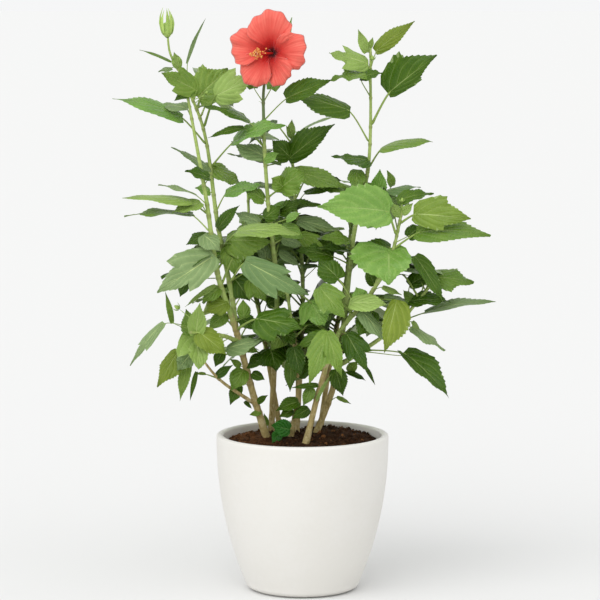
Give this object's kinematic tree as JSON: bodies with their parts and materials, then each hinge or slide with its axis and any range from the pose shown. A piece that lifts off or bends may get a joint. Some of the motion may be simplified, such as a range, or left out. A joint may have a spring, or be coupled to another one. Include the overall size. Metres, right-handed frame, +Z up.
{
  "type": "potted hibiscus shrub",
  "caption": "Leafy green hibiscus shrub with one coral-red bloom and a bud, several slender upright stems rising from soil in a plain white tapered pot.",
  "frame": {"origin": "middle of the pot's flat underside, on the surface it stands on", "axes": "+Z up, -Y towards the side that the bloom faces, +X to the right seen from that side"},
  "size_m": [0.4775, 0.3254, 0.741],
  "materials": {
    "white_pot": "smooth satin white glaze",
    "soil": "dark crumbly compost",
    "old_wood": "beige-brown bark",
    "young_wood": "smooth green bark",
    "leaves": "softly glossy leaf",
    "petals": "soft satin petal",
    "stamens": "matt pollen",
    "calyx": "matt green sepals"
  },
  "bodies": {
    "root": {"pot": "white_pot", "soil": "soil", "left_stem": "old_wood", "bloom_stem": "young_wood", "centre_stem": "old_wood", "centre_back_stem": "young_wood", "right_stem": "old_wood", "tall_right_stem": "old_wood", "back_left_stem": "old_wood", "back_right_stem": "old_wood", "bud_bough": "young_wood", "far_right_bough": "young_wood", "low_left_bough": "young_wood", "left_twig_bough": "old_wood", "bloom_petals": "petals", "bloom_column": "stamens", "bloom_calyx": "calyx", "bud": "calyx", "bloom_leaves": "leaves", "left_top_leaves": "leaves", "left_shoulder_leaves": "leaves", "left_upper_leaves": "leaves", "left_middle_leaves": "leaves", "left_inner_leaves": "leaves", "left_lobed_leaves": "leaves", "left_centre_leaves": "leaves", "low_left_leaves": "leaves", "left_twig_leaves": "leaves", "centre_low_leaves": "leaves", "centre_leaves": "leaves", "centre_middle_leaves": "leaves", "centre_upper_leaves": "leaves", "centre_top_leaves": "leaves", "right_top_leaves": "leaves", "right_shoulder_leaves": "leaves", "right_upper_leaves": "leaves", "right_middle_leaves": "leaves", "right_leaves": "leaves", "right_inner_leaves": "leaves", "far_right_leaves": "leaves", "right_centre_leaves": "leaves", "right_hanging_leaves": "leaves", "right_low_leaves": "leaves", "low_middle_leaves": "leaves", "back_left_top_leaves": "leaves", "back_left_leaves": "leaves", "back_right_top_leaves": "leaves", "back_right_leaves": "leaves", "back_low_leaves": "leaves"}
  },
  "joints": []
}
